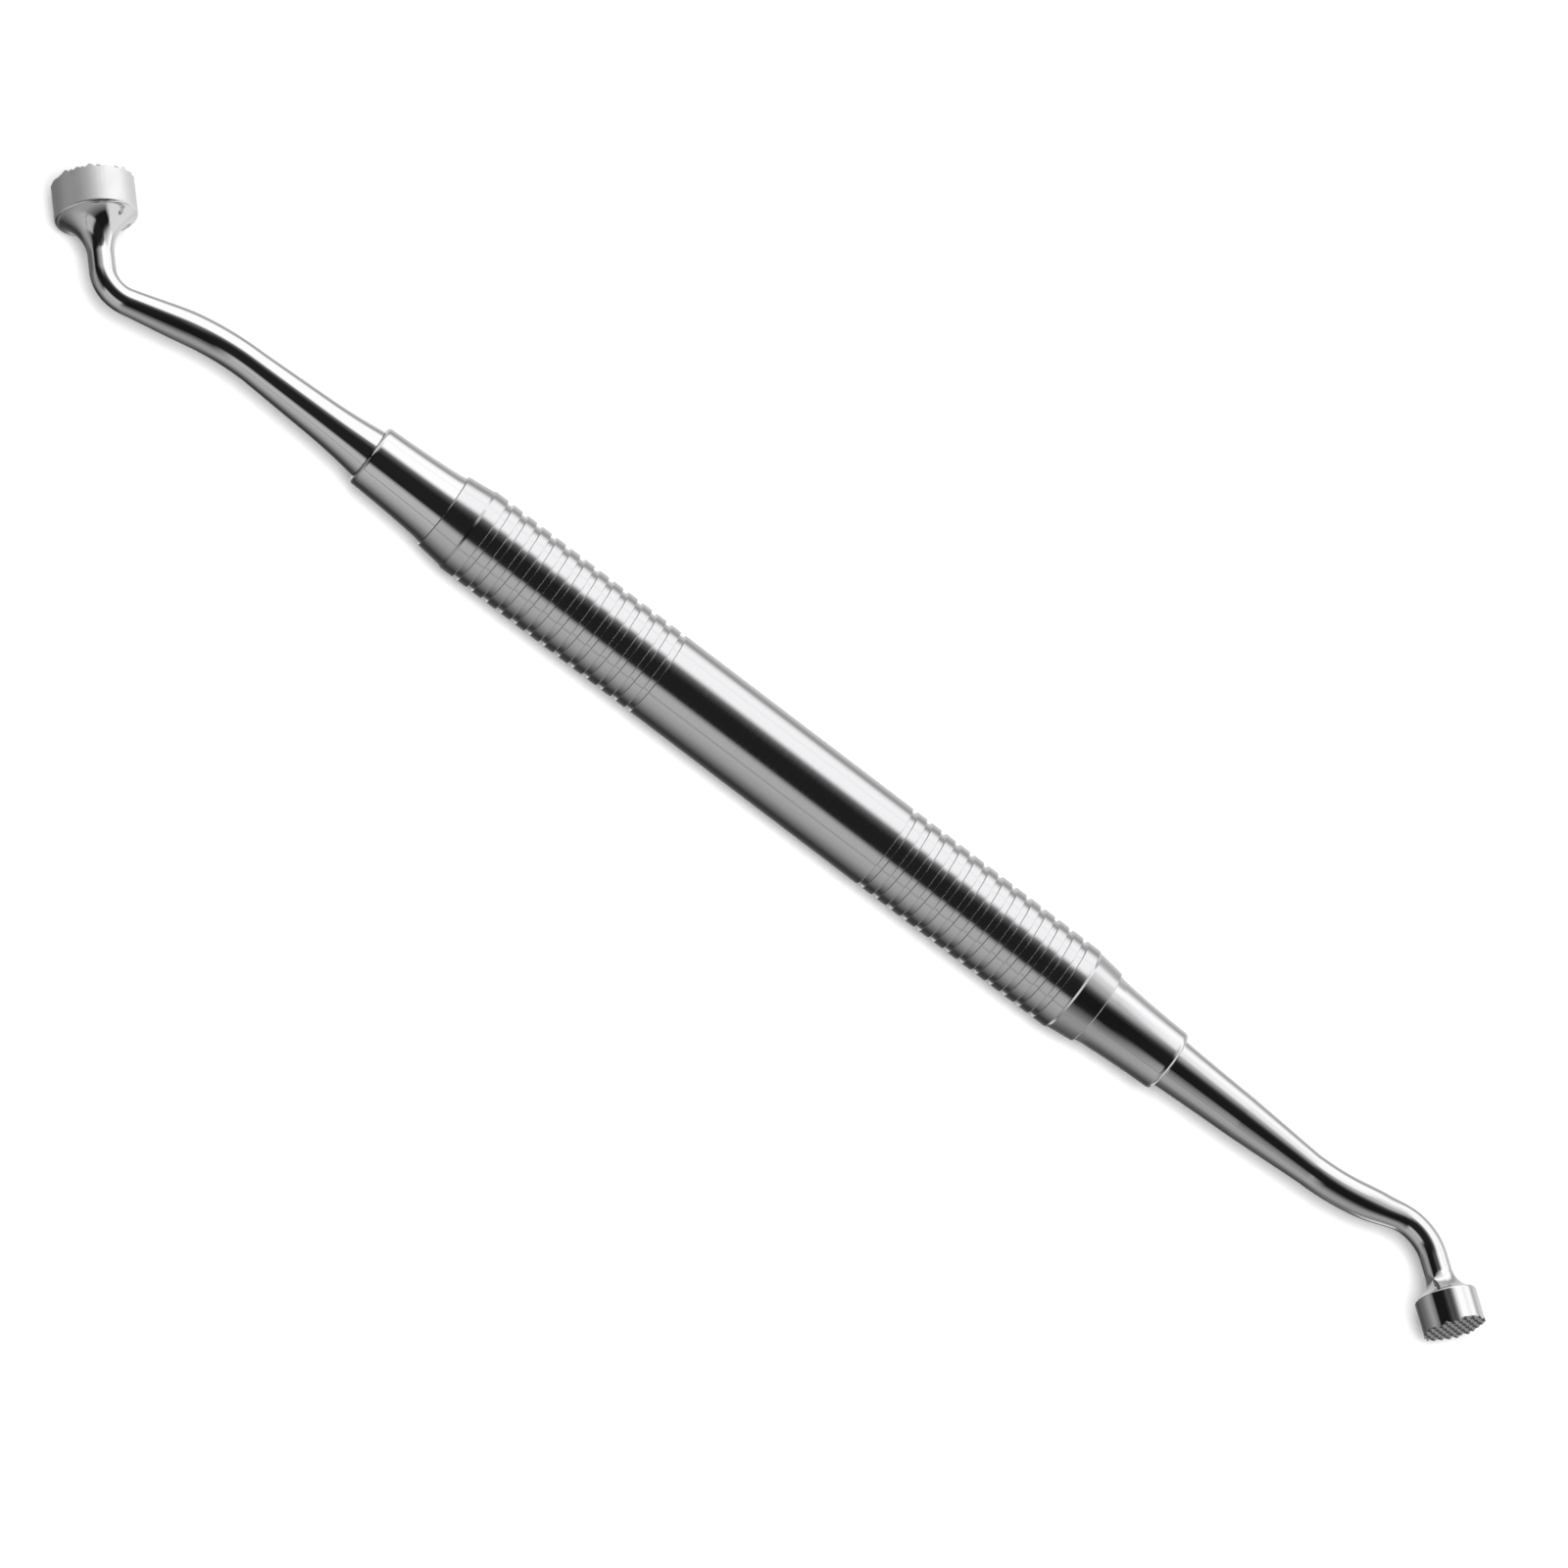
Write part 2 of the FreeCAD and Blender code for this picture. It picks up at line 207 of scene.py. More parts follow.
class PLUGGER_PG_stage(bpy.types.PropertyGroup):
    floor: colour("Floor", (0.9, 0.9, 0.9), "Colour of the floor")
    backdrop: amount("Backdrop", 1.0, "Brightness of the backdrop beyond the floor")
    tent: amount("Tent", 2.2, "Brightness of the light tent")
    fill: amount("Fill", 0.28, "Brightness of the soft light from all round")
    softbox: amount("Softbox", 23.5, "Power of the soft light overhead, in watts")
    lens: FloatProperty(name="Lens", description="Focal length", default=236.0, unit="CAMERA")
    distance: length("Camera distance", 1000.0, "Distance from the camera to the grip's middle")


SETTINGS = {
    "plugger_grip": PLUGGER_PG_grip,
    "plugger_ferrule": PLUGGER_PG_ferrule,
    "plugger_large": PLUGGER_PG_large,
    "plugger_small": PLUGGER_PG_small,
    "plugger_teeth": PLUGGER_PG_teeth,
    "plugger_finish": PLUGGER_PG_finish,
    "plugger_stage": PLUGGER_PG_stage,
}


def rounded(corners):
    """A profile through corners (x, r, cut), each with its edge broken.

    A corner P becomes the curve (1-t)^2 A + 2t(1-t) P + t^2 B, where A and B lie on its two
    sides at the distance cut. One more point further out on each side keeps the sides flat.
    """
    corners = np.asarray(corners, dtype=float)
    spots, cuts = corners[:, :2], corners[:, 2:3]
    back, ahead = np.roll(spots, 1, axis=0) - spots, np.roll(spots, -1, axis=0) - spots
    back /= np.linalg.norm(back, axis=1, keepdims=True)
    ahead /= np.linalg.norm(ahead, axis=1, keepdims=True)
    start, end = spots + back * cuts, spots + ahead * cuts
    t = np.linspace(0, 1, ROUND_STEPS)[None, :, None]
    curve = (1 - t) ** 2 * start[:, None] + 2 * t * (1 - t) * spots[:, None] + t**2 * end[:, None]
    before, after = spots + back * cuts * ROUND_GUARD, spots + ahead * cuts * ROUND_GUARD
    points = np.concatenate([before[:, None], curve, after[:, None]], axis=1).reshape(-1, 2)
    step = np.linalg.norm(points - np.roll(points, 1, axis=0), axis=1)
    return points[step > NO_STEP]


def hollow_arc(start, end, radius, steps):
    """Points of the arc from start to end, of that radius, whose centre is on its left."""
    start, end = np.array(start, dtype=float), np.array(end, dtype=float)
    chord = end - start
    left = np.array([-chord[1], chord[0]]) / np.linalg.norm(chord)
    half = np.linalg.norm(chord) / 2
    centre = (start + end) / 2 + left * math.sqrt(radius**2 - half**2)
    first, last = start - centre, end - centre
    a = math.atan2(first[1], first[0])
    b = a + math.asin(min(1.0, half / radius)) * 2
    angles = np.linspace(a, b, steps)
    return centre + radius * np.stack([np.cos(angles), np.sin(angles)], axis=1)


def turned(profile, columns):
    """The grid made by turning a profile (x, r) round X: (x, r cos a, r sin a)."""
    angles = np.linspace(0, 2 * math.pi, columns, endpoint=False)
    x = np.repeat(profile[:, :1], columns, axis=1)
    return np.stack([x, profile[:, 1:] * np.cos(angles), profile[:, 1:] * np.sin(angles)], axis=2)


def grid_faces(rows, columns, closed):
    """Quads of a grid whose columns go all the way round, and whose rows do if closed."""
    i = np.arange(rows if closed else rows - 1)[:, None]
    j = np.arange(columns)[None, :]
    below, beside = (i + 1) % rows, (j + 1) % columns
    corners = [i * columns + j, i * columns + beside, below * columns + beside, below * columns + j]
    return np.stack(np.broadcast_arrays(*corners), axis=2).reshape(-1, 4)


def make_piece(name, points, faces, materials, kinds=None):
    """A mesh object at the origin, with its doubles merged and its faces pointing outwards."""
    mesh = bpy.data.meshes.new(name)
    mesh.from_pydata(points.tolist(), [], faces)
    for material in materials:
        mesh.materials.append(material)
    if kinds is not None:
        mesh.polygons.foreach_set("material_index", kinds)
    build = bmesh.new()
    build.from_mesh(mesh)
    bmesh.ops.remove_doubles(build, verts=build.verts, dist=MERGE)
    bmesh.ops.recalc_face_normals(build, faces=build.faces)
    build.to_mesh(mesh)
    build.free()
    mesh.polygons.foreach_set("use_smooth", np.ones(len(mesh.polygons), dtype=bool))
    mesh.set_sharp_from_angle(angle=SHARP)
    piece = bpy.data.objects.new(name, mesh)
    bpy.context.scene.collection.objects.link(piece)
    return piece


def declare(piece, node):
    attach(piece, "root")
    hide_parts(node)


def grip_profile(grip):
    """Corners of the grip tube's section, with rings cut by repeating one groove."""
    outer, bore, half = GRIP_RADIUS, grip.bore / 2, GRIP_HALF
    band, step, lip = grip.band_length, grip.band_step, grip.lip
    starts = grip.plain / 2 + grip.ring_pitch * np.arange(grip.ring_count)
    ring_x = starts[:, None] + np.array([0, 0, 1, 1]) * grip.ring_width
    ring_r = outer - np.array([0, 1, 1, 0]) * grip.ring_depth
    rings = np.stack([ring_x, np.broadcast_to(ring_r, ring_x.shape)], axis=2).reshape(-1, 2)
    end = [(half - band - step, outer), (half - band, grip.band_root / 2)]
    end += [(half, grip.band_end / 2), (half, bore)]
    right = np.concatenate([rings, end])
    cuts = np.full(len(right), lip)
    cuts[-2:] = lip * BAND_LIP, 0
    right = np.column_stack([right, cuts])
    left = right[::-1] * (-1, 1, 1)
    return rounded(np.concatenate([left, right]))


def ferrule_profile(ferrule):
    """Corners and hollow flank of a ferrule's section, with x from its inner end outwards."""
    fit = bpy.context.scene.plugger_grip.bore / 2
    seat, mouth = ferrule.seat / 2, ferrule.mouth / 2
    socket, spigot, edge = ferrule.socket / 2, ferrule.spigot, ferrule.edge
    end = spigot + ferrule.length
    narrow = (spigot + ferrule.foot, ferrule.foot_thick / 2)
    foot = hollow_arc((spigot, seat), narrow, ferrule.foot_hollow, FOOT_STEPS)[1:]
    flank = hollow_arc(narrow, (end, mouth), ferrule.flank, FLANK_STEPS)[1:-2]
    flank = np.concatenate([foot, flank])
    flank = np.column_stack([flank, np.zeros(len(flank))])
    inner = [(0, socket, 0), (0, fit, edge), (spigot, fit, 0), (spigot, seat, edge)]
    return rounded(np.concatenate([inner, flank, [(end, mouth, ferrule.lip), (end, socket, edge)]]))


def roll_angle(large):
    """The roll about X that sets the larger head's rim level with the underside of the grip.

    With offset the distance of the face's middle from the axis, the rim's lowest point is at
    -(offset sin roll + rim sqrt(cos^2 tip + sin^2 tip cos^2 roll)), which is set to -grip.
    """
    lean, crank = math.sin(large.tip), large.crank
    grip, rim = GRIP_RADIUS, large.head / 2
    offset = large.crank_radius * (math.cos(crank) - 1) - large.run * math.sin(crank)
    offset += large.tip_radius * (math.cos(crank) - math.cos(large.tip))
    offset += (large.neck + large.flare + large.head_length) * lean
    spread = offset**2 + (rim * lean) ** 2
    rest = grip**2 - rim**2
    return math.asin((grip * offset - math.sqrt((grip * offset) ** 2 - spread * rest)) / spread)


def row_frame(points, facing):
    """Points from a piece's own frame, x outwards and y towards the tip's side, in the row's."""
    ferrule = bpy.context.scene.plugger_ferrule
    distance = GRIP_HALF - ferrule.spigot
    axis, sign = ("Y", -1) if facing == "large" else ("X", 1)
    roll = Matrix.Rotation(-roll_angle(bpy.context.scene.plugger_large), 3, "X")
    rotation = np.array(roll @ Matrix.Rotation(math.pi, 3, axis))
    return points.reshape(-1, 3) @ rotation.T + (sign * distance, 0, 0)


def knots(end):
    """Distances along a plugger's centre line where its stretches meet."""
    ferrule = bpy.context.scene.plugger_ferrule
    tail = ferrule.spigot + ferrule.length
    steps = [tail, end.shank, end.crank_radius * end.crank, end.run]
    steps += [end.tip_radius * (end.crank + end.tip), end.neck, end.flare]
    return np.cumsum(steps)


def along_route(end, places):
    """Centre and heading of the centre line at each distance: the integral of (cos a, sin a).

    The heading a is 0 up to the first bend, falls evenly to -crank, and rises evenly to tip.
    """
    _, start, crank_out, run_out, tip_out, _, flare_out = knots(end)
    bends, turns = [start, crank_out, run_out, tip_out], [0, -end.crank, -end.crank, end.tip]
    fine = np.linspace(0, flare_out + end.head_length * ROUTE_MARGIN, ROUTE_STEPS)
    heading = np.interp(fine, bends, turns)
    step = fine[1]
    centre = []
    for part in (np.cos(heading), np.sin(heading)):
        total = np.concatenate([[0], np.cumsum((part[1:] + part[:-1]) / 2 * step)])
        centre.append(np.interp(places, fine, total))
    return np.stack(centre, axis=-1), np.interp(places, bends, turns)


def sweep(end, places, radius, angles):
    """The skin carried along the centre line: centre + radius (cos b * normal + sin b * z)."""
    centre, heading = along_route(end, places)
    across = radius * np.cos(angles)
    x = centre[..., 0] - np.sin(heading) * across
    y = centre[..., 1] + np.cos(heading) * across
    return np.stack(np.broadcast_arrays(x, y, radius * np.sin(angles)), axis=-1)


def eased(places, stations, radii):
    """Radii joined by straight tapers, each place averaged over a reach either side of it."""
    shifts = np.linspace(-EASE_REACH, EASE_REACH, EASE_STEPS)[:, None]
    return np.interp(places[None, :] + shifts, stations, radii).mean(axis=0)


def plugger_profile(end):
    """Distance along the centre line and radius, from the tail's end to just below the teeth."""
    tail, start, crank_out, run_out, tip_out, neck_out, flare_out = knots(end)
    socket = bpy.context.scene.plugger_ferrule.socket / 2
    shoulder, thick, thin, head = (
        size / 2 for size in (end.shoulder, end.crank_thick, end.tip_thick, end.head)
    )
    edge = end.head_edge
    root_end = (tail + end.root, end.root_thick / 2)
    root = hollow_arc((tail, shoulder), root_end, end.root_hollow, ROOT_STEPS)
    bends = [np.linspace(start, crank_out, CRANK_STEPS)[1:]]
    bends += [np.linspace(crank_out, run_out, RUN_STEPS)[1:]]
    bends += [np.linspace(run_out, tip_out, TIP_STEPS)[1:]]
    bends += [np.linspace(tip_out, neck_out, NECK_STEPS)[1:-1]]
    bends = np.concatenate(bends)
    taper = eased(bends, [start, crank_out, run_out], [thick, thick * CRANK_TAPER, thin])
    flare = hollow_arc((neck_out, thin), (flare_out, head - edge), end.flare_hollow, FLARE_STEPS)
    quarter = np.linspace(EDGE_START, math.pi / 2, EDGE_STEPS)
    middle = np.array([flare_out + edge, head - edge])
    rim = middle + edge * np.stack([-np.cos(quarter), np.sin(quarter)], axis=1)
    stop = flare_out + end.head_length - bpy.context.scene.plugger_teeth.depth * TEETH_CLEAR
    wall = [(flare_out + edge * WALL_START, head), (stop - edge, head), (stop, head)]
    swept = np.concatenate([root[1:], [(start, thick)], np.column_stack([bends, taper])])
    swept = np.concatenate([swept, flare, rim, wall])
    swept = np.column_stack([swept, np.zeros(len(swept))])
    corners = [(0, 0, 0), (0, socket, TAIL_EDGE), (tail, socket, 0)]
    corners += [(tail, shoulder, SHOULDER_EDGE)]
    return rounded(np.concatenate([corners, swept]))


def tooth_triangles(radius, pitch, depth):
    """The cross-cut face inside a circle, as triangles (u, v, height), each flat.

    Two rows of V cuts leave min(hu, hv), where h rises evenly from -depth in a valley to 0 on
    a ridge. On squares half a pitch wide that is two flat triangles from the ridges' corner.
    Even lines are valleys and odd lines are ridges.
    """
    count = math.ceil(2 * radius / pitch)
    lines = np.arange(-TEETH_MARGIN, 2 * (count - 1) + TEETH_MARGIN + 1)
    i, j = (grid.ravel() for grid in np.meshgrid(lines[:-1], lines[:-1], indexing="ij"))
    odd_i, odd_j = i + (i % 2 == 0), j + (j % 2 == 0)
    even_i, even_j = 2 * i + 1 - odd_i, 2 * j + 1 - odd_j
    first = -(count - 1) * pitch / 2
    triangles = []
    for mixed in ((odd_i, even_j), (even_i, odd_j)):
        corners = ((odd_i, odd_j), mixed, (even_i, even_j))
        triangles.append(np.stack([np.stack(corner, axis=1) for corner in corners], axis=1))
    flat = first + np.concatenate(triangles) * pitch / 2
    height = np.full(flat.shape[:2] + (1,), -depth)
    height[:, 0] = 0
    return clip_to_circle(np.concatenate([flat, height], axis=2), radius)


def clip_to_circle(triangles, radius):
    """Triangles cut off at a circle, with the points where they cross it."""
    inside = np.linalg.norm(triangles[..., :2], axis=2) < radius
    kept = [triangles[inside.all(axis=1)]]
    crossings = []
    for wanted in (1, 2):
        chosen = triangles[inside.sum(axis=1) == wanted]
        flags = inside[inside.sum(axis=1) == wanted]
        odd_one = np.argmax(flags == (wanted == 1), axis=1)
        order = (odd_one[:, None] + np.arange(3)) % 3
        a, b, c = np.moveaxis(np.take_along_axis(chosen, order[..., None], axis=1), 1, 0)
        if wanted == 1:
            ab, ac = meet_circle(a, b, radius), meet_circle(a, c, radius)
            kept.append(np.stack([a, ab, ac], axis=1))
        else:
            ab, ac = meet_circle(b, a, radius), meet_circle(c, a, radius)
            kept += [np.stack([b, c, ac], axis=1), np.stack([b, ac, ab], axis=1)]
        crossings += [ab, ac]
    points = np.concatenate(crossings)
    angles = np.arctan2(points[:, 1], points[:, 0])
    _, first = np.unique(np.round(angles, 6), return_index=True)
    return np.concatenate(kept), points[first], angles[first]


def meet_circle(start, end, radius):
    """Where the way from a point inside to one outside crosses the circle: |p + t d| = r."""
    way = end - start
    a = (way[:, :2] ** 2).sum(axis=1)
    b = (way[:, :2] * start[:, :2]).sum(axis=1)
    c = (start[:, :2] ** 2).sum(axis=1) - radius**2
    t = (-b + np.sqrt(b * b - a * c)) / a
    return start + way * t[:, None]


def plugger_mesh(end):
    """The skin from the tail to the head's rim, and the teeth that close it.

    The kinds are 0 for the shank and the flare, 1 for the head's side and 2 for the teeth.
    """
    teeth = bpy.context.scene.plugger_teeth
    triangles, rim, angles = tooth_triangles(end.head / 2, teeth.pitch, teeth.depth)
    face = knots(end)[-1] + end.head_length
    profile = plugger_profile(end)
    places = np.repeat(profile[:, :1], len(angles), axis=1)
    skin = sweep(end, places, profile[:, 1:], angles[None, :])
    top = sweep(end, face + rim[:, 2], np.full(len(rim), end.head / 2), angles)
    grid = np.concatenate([skin, top[None]])
    corners = triangles.reshape(-1, 3)
    reach = np.linalg.norm(corners[:, :2], axis=1)
    bearing = np.arctan2(corners[:, 1], corners[:, 0])
    tooth_points = sweep(end, face + corners[:, 2], reach, bearing)
    quads = grid_faces(len(grid), len(angles), closed=False)
    first = grid.shape[0] * grid.shape[1]
    tooth_faces = first + np.arange(len(corners)).reshape(-1, 3)
    side = places[:, 0] > knots(end)[-1] + end.head_edge * SIDE_START
    kinds = np.repeat(side, len(angles)).astype(np.int32)
    kinds = np.concatenate([kinds, np.full(len(tooth_faces), 2, dtype=np.int32)])
    points = np.concatenate([grid.reshape(-1, 3), tooth_points])
    return points, quads.tolist() + tooth_faces.tolist(), kinds


NOISE_DETAIL = 4
NOISE_LOW, NOISE_HIGH = 0.3, 0.7  # most of the noise lies between these


def new_material(name):
    material = bpy.data.materials.new(name)
    material.use_nodes = True
    return material, material.node_tree.nodes, material.node_tree.links


def steel(name, tint, roughness, spread, scale):
    """Steel whose roughness wanders between roughness and roughness + spread.

    The scale says how many times a metre it wanders along each axis of the object.
    """
    material, nodes, links = new_material(name)
    shader = nodes["Principled BSDF"]
    shader.inputs["Base Color"].default_value = (*tint, 1)
    shader.inputs["Metallic"].default_value = 1
    where = nodes.new("ShaderNodeTexCoord")
    mapping = nodes.new("ShaderNodeMapping")
    mapping.inputs["Scale"].default_value = scale
    noise = nodes.new("ShaderNodeTexNoise")
    noise.inputs["Scale"].default_value = 1
    noise.inputs["Detail"].default_value = NOISE_DETAIL
    spreader = nodes.new("ShaderNodeMapRange")
    spreader.inputs["From Min"].default_value = NOISE_LOW
    spreader.inputs["From Max"].default_value = NOISE_HIGH
    spreader.inputs["To Min"].default_value = roughness
    spreader.inputs["To Max"].default_value = roughness + spread
    links.new(where.outputs["Object"], mapping.inputs["Vector"])
    links.new(mapping.outputs["Vector"], noise.inputs["Vector"])
    links.new(noise.outputs["Fac"], spreader.inputs["Value"])
    links.new(spreader.outputs["Result"], shader.inputs["Roughness"])
    return material


def polished_steel(finish):
    tint, roughness = finish.polished, finish.polished_roughness
    return steel("polished steel", tint, roughness, spread=0.03, scale=(400, 400, 400))


def satin_steel(finish):
    """The grip's finish, with streaks that run round it as the turning tool left them."""
    tint, roughness = finish.satin, finish.satin_roughness
    return steel("satin steel", tint, roughness, spread=0.07, scale=(6000, 60, 60))


def side_steel(finish):
    """The matt finish of the larger head's side."""
    tint, roughness = finish.side, finish.side_roughness
    return steel("head side", tint, roughness, spread=0.06, scale=(900, 900, 900))


def teeth_steel_painted_shade(finish):
    """The teeth's steel: its colour is darker than the rest as painted shade, for the shade that
    the teeth lie in; its roughness is their own.
    """
    tint, roughness = finish.cut, finish.cut_roughness
    return steel("teeth steel with painted shade", tint, roughness, spread=0.08, scale=(1500, 1500, 1500))


class PLUGGER_OT_grip(bpy.types.Operator):
    """Builds the grip tube with its rings and tapered bands"""

    bl_idname = "plugger.grip"
    bl_label = "Grip tube"

    def execute(self, context):
        grid = turned(grip_profile(context.scene.plugger_grip), GRIP_COLUMNS)
        faces = grid_faces(*grid.shape[:2], closed=True)
        material = satin_steel(context.scene.plugger_finish)
        piece = make_piece("grip_tube", grid.reshape(-1, 3), faces.tolist(), [material])
        declare(piece, "handle_tube")
        return {"FINISHED"}


class PLUGGER_OT_ferrules(bpy.types.Operator):
    """Builds the two ferrules"""

    bl_idname = "plugger.ferrules"
    bl_label = "Ferrules"

    def execute(self, context):
        grid = turned(ferrule_profile(context.scene.plugger_ferrule), FERRULE_COLUMNS)
        faces = grid_faces(*grid.shape[:2], closed=True)
        material = polished_steel(context.scene.plugger_finish)
        for facing in ("large", "small"):
            points = row_frame(grid, facing)
            piece = make_piece(f"{facing}_ferrule", points, faces.tolist(), [material])
            declare(piece, f"{facing}_end_ferrule")
        return {"FINISHED"}


class PLUGGER_OT_large(bpy.types.Operator):
    """Builds the plugger with the larger head"""

    bl_idname = "plugger.large_end"
    bl_label = "Larger plugger"

    def execute(self, context):
        points, faces, kinds = plugger_mesh(context.scene.plugger_large)
        finish = context.scene.plugger_finish
        # cut is the teeth's steel, whose colour is darkened as painted shade
        side, cut = side_steel(finish), teeth_steel_painted_shade(finish)
        materials = [polished_steel(finish), side, cut]
        piece = make_piece("large_end", row_frame(points, "large"), faces, materials, kinds)
        declare(piece, "large_plugger")
        return {"FINISHED"}


class PLUGGER_OT_small(bpy.types.Operator):
    """Builds the plugger with the smaller head"""

    bl_idname = "plugger.small_end"
    bl_label = "Smaller plugger"

    def execute(self, context):
        points, faces, kinds = plugger_mesh(context.scene.plugger_small)
        finish = context.scene.plugger_finish
        # cut is the teeth's steel, whose colour is darkened as painted shade
        cut, polished = teeth_steel_painted_shade(finish), polished_steel(finish)
        materials = [polished, polished, cut]
        piece = make_piece("small_end", row_frame(points, "small"), faces, materials, kinds)
        declare(piece, "small_plugger")
        return {"FINISHED"}


FLOOR_HALF = 2.5
FLOOR_ROUGHNESS, FLOOR_SPECULAR = 0.9, 0.1


def make_floor(tint):
    """A matt square under the instrument, which isn't mirrored in the steel."""
    material, nodes, _ = new_material("pale floor")
    shader = nodes["Principled BSDF"]
    shader.inputs["Base Color"].default_value = (*tint, 1)
    shader.inputs["Roughness"].default_value = FLOOR_ROUGHNESS
    shader.inputs["Specular IOR Level"].default_value = FLOOR_SPECULAR
    corners = [(-1, -1), (1, -1), (1, 1), (-1, 1)]
    corners = [(FLOOR_HALF * x, FLOOR_HALF * y, FLOOR) for x, y in corners]
    mesh = bpy.data.meshes.new("floor")
    mesh.from_pydata(corners, [], [(0, 1, 2, 3)])
    mesh.materials.append(material)
    floor = bpy.data.objects.new("floor", mesh)
    floor.visible_glossy = False
    bpy.context.scene.collection.objects.link(floor)
    return floor


def maths(tree, operation, first, second):
    """One Math node. An input is a number or another node's output."""
    node = tree.nodes.new("ShaderNodeMath")
    node.operation = operation
    for socket, value in zip(node.inputs, (first, second)):
        if isinstance(value, (int, float)):
            socket.default_value = value
        else:
            tree.links.new(value, socket)
    return node.outputs["Value"]


def steps(tree, value, low, high, stops):
    """A curve of straight pieces over low to high through stops (place, brightness)."""
    spread = tree.nodes.new("ShaderNodeMapRange")
    spread.inputs["From Min"].default_value = low
    spread.inputs["From Max"].default_value = high
    tree.links.new(value, spread.inputs["Value"])
    ramp = tree.nodes.new("ShaderNodeValToRGB")
    elements = ramp.color_ramp.elements
    while len(elements) < len(stops):
        elements.new(0.5)
    for element, (place, bright) in zip(elements, stops):
        element.position = (place - low) / (high - low)
        element.color = (bright, bright, bright, 1)
    tree.links.new(spread.outputs["Result"], ramp.inputs["Fac"])
    return ramp.outputs["Color"]


def blend(tree, factor, first, second):
    """first where factor is 0, second where it is 1."""
    kept = maths(tree, "MULTIPLY", first, maths(tree, "SUBTRACT", 1.0, factor))
    return maths(tree, "ADD", kept, maths(tree, "MULTIPLY", second, factor))


# Brightness round the instrument's axis, by the angle up from the horizon behind it, in degrees:
# the strips that the grip mirrors, and those that the ends mirror
GRIP_STRIPS = [(-180, 0.38), (-160, 0.3), (-147, 0.2), (-132, 0.1), (-118, 0.03), (-100, 0.04)]
GRIP_STRIPS += [(-80, 0.1), (-56, 0.42), (-20, 0.4), (-14, 0.28), (0, 0.3), (10, 0.75), (20, 0.9)]
GRIP_STRIPS += [(35, 0.9), (37, 0.72), (39, 0.9), (66, 0.9), (72, 0.55), (78, 0.14), (86, 0.05)]
GRIP_STRIPS += [(96, 0.012), (138, 0.012), (143, 0.22), (150, 0.39), (170, 0.4), (172, 0.12)]
GRIP_STRIPS += [(174, 0.4), (180, 0.38)]
END_STRIPS = [(-180, 0.26), (-160, 0.28), (-147, 0.23), (-132, 0.15), (-110, 0.1), (-75, 0.1)]
END_STRIPS += [(-56, 0.42), (-20, 0.42), (0, 0.35), (10, 0.4), (24, 0.88), (38, 0.88), (48, 0.66)]
END_STRIPS += [(58, 0.6), (68, 0.42), (80, 0.32), (87, 0.17), (96, 0.04), (106, 0.008)]
END_STRIPS += [(146, 0.008), (153, 0.07), (162, 0.13), (171, 0.19), (180, 0.26)]
# How far the grip's strips reach along X, as a mask by the direction's own X
GRIP_REACH = [(-1, 0), (-0.55, 0), (-0.4, 1), (0.165, 1), (0.3, 0), (1, 0)]
# Panels over the strips: from and to along X, from and to round the axis, and brightness.
# They fade out over FADE_ALONG and FADE_ROUND, and their masks run along X to PANEL_SPAN.
PANELS = (
    (0.46, 0.84, -115, -10, 0.5),
    (0.86, 1.1, -180, 180, 0.6),
)
FADE_ALONG, FADE_ROUND = 0.08, 15.0
PANEL_SPAN = 1.2


def band(tree, value, low, high, start, end, blur):
    """A mask that is 1 from start to end and fades over blur on either side."""
    stops = [(low, 0), (start - blur, 0), (start, 1), (end, 1), (end + blur, 0), (high, 0)]
    inside = [(place, bright) for place, bright in stops if low < place < high]
    first = 1 if start <= low else 0
    last = 1 if end >= high else 0
    return steps(tree, value, low, high, [(low, first), *inside, (high, last)])


def light_tent(stage):
    """A pale surround of long strips along the instrument, dark overhead, with panels over it.

    Only mirror rays see it. The camera sees the backdrop, and the fill lights the rest.
    """
    world = bpy.data.worlds.new("light tent")
    world.use_nodes = True
    tree = world.node_tree
    where = tree.nodes.new("ShaderNodeTexCoord")
    split = tree.nodes.new("ShaderNodeSeparateXYZ")
    tree.links.new(where.outputs["Generated"], split.inputs["Vector"])
    x, y, z = (split.outputs[letter] for letter in "XYZ")
    up = maths(tree, "MULTIPLY", maths(tree, "ARCTAN2", z, y), 180 / math.pi)
    ends, grip = steps(tree, up, -180, 180, END_STRIPS), steps(tree, up, -180, 180, GRIP_STRIPS)
    shown = blend(tree, steps(tree, x, -1, 1, GRIP_REACH), ends, grip)
    for left, right, start, end, bright in PANELS:
        mask_along = band(tree, x, -PANEL_SPAN, PANEL_SPAN, left, right, FADE_ALONG)
        mask_round = band(tree, up, -180, 180, start, end, FADE_ROUND)
        shown = blend(tree, maths(tree, "MULTIPLY", mask_along, mask_round), shown, bright)
    shown = maths(tree, "MULTIPLY", shown, stage.tent)
    rays = tree.nodes.new("ShaderNodeLightPath")
    shown = blend(tree, rays.outputs["Is Glossy Ray"], stage.fill, shown)
    backdrop = blend(tree, rays.outputs["Is Camera Ray"], shown, stage.backdrop)
    tree.links.new(backdrop, tree.nodes["Background"].inputs["Strength"])
    tree.nodes["Background"].inputs["Color"].default_value = (1, 1, 1, 1)
    bpy.context.scene.world = world


SOFTBOX_SIZE = 0.9
SOFTBOX_PLACE = (-0.05, -0.51, 1.1)


def make_softbox(stage):
    """A large soft light that hangs over the floor on the camera's side and faces down. It
    whitens the floor and isn't mirrored in the steel."""
    light = bpy.data.lights.new("softbox", "AREA")
    light.size = SOFTBOX_SIZE
    light.energy = stage.softbox
    softbox = bpy.data.objects.new("softbox", light)
    softbox.location = SOFTBOX_PLACE
    softbox.visible_glossy = False
    softbox.visible_camera = False
    bpy.context.scene.collection.objects.link(softbox)


